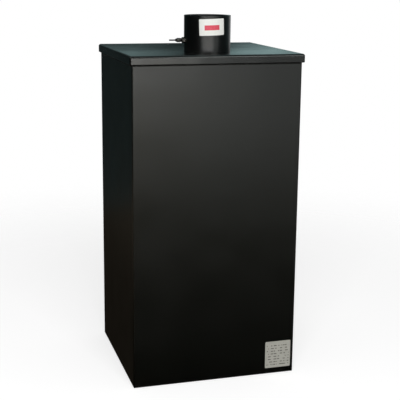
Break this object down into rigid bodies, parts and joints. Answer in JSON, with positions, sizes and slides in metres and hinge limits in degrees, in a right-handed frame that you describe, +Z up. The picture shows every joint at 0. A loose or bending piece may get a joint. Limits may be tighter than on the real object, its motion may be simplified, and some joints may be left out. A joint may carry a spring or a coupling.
{
  "type": "smoke cabinet",
  "caption": "Tall top-loading smoke cabinet of folded black sheet steel with an overlapping lift-off lid and a round smoke generator with an air nozzle on top.",
  "frame": {"origin": "on the ground, under the middle of the lid's and the cabinet's outline", "axes": "+Z up; the front, with the label, faces -Y; +X to the right as seen from the front"},
  "size_m": [0.308, 0.288, 0.6462],
  "materials": {
    "cabinet_paint": "satin black powder coat",
    "lid_paint": "satin black powder coat",
    "generator_paint": "satin black powder coat",
    "inner_paint": "matt black",
    "bare_steel": "drawn steel wire",
    "fitting_steel": "turned, blackened",
    "rivet_steel": "painted with the back"
  },
  "bodies": {
    "cabinet": {"body_shell": "cabinet_paint", "back_panel": "cabinet_paint", "floor_pan": "inner_paint", "back_rivets": "rivet_steel", "rod_rail_left": "inner_paint", "rod_rail_right": "inner_paint", "grate_ledge_left": "inner_paint", "grate_ledge_right": "inner_paint"},
    "lid": {"lid": "lid_paint", "smoke_collar": "inner_paint"},
    "generator": {"generator_shell": "generator_paint", "generator_base": "inner_paint", "chip_grate": "fitting_steel", "nozzle_bush": "fitting_steel", "nozzle_lock_nut": "fitting_steel", "nozzle_cap_nut": "fitting_steel", "air_tube": "fitting_steel"},
    "cap": {"generator_cap": "generator_paint", "cap_strap": "fitting_steel"},
    "front_rod": {"hanging_rod_front": "bare_steel"},
    "middle_rod": {"hanging_rod_middle": "bare_steel"},
    "rear_rod": {"hanging_rod_rear": "bare_steel"},
    "grate": {"wire_grate": "bare_steel"},
    "tray": {"drip_tray": "bare_steel"}
  },
  "joints": [
    {"name": "lid_lift", "type": "slide", "parent": "cabinet", "child": "lid", "axis": [0, 0, 1], "range_m": [0, 0.3]},
    {"name": "generator_lift", "type": "slide", "parent": "lid", "child": "generator", "axis": [0, 0, 1], "range_m": [0, 0.08]},
    {"name": "cap_lift", "type": "slide", "parent": "generator", "child": "cap", "axis": [0, 0, 1], "range_m": [0, 0.08]},
    {"name": "front_rod_lift", "type": "slide", "parent": "cabinet", "child": "front_rod", "axis": [0, 0, 1], "range_m": [0, 0.028]},
    {"name": "middle_rod_lift", "type": "slide", "parent": "cabinet", "child": "middle_rod", "axis": [0, 0, 1], "range_m": [0, 0.028]},
    {"name": "rear_rod_lift", "type": "slide", "parent": "cabinet", "child": "rear_rod", "axis": [0, 0, 1], "range_m": [0, 0.028]},
    {"name": "grate_lift", "type": "slide", "parent": "cabinet", "child": "grate", "axis": [0, 0, 1], "range_m": [0, 0.3]},
    {"name": "tray_lift", "type": "slide", "parent": "cabinet", "child": "tray", "axis": [0, 0, 1], "range_m": [0, 0.17]}
  ]
}
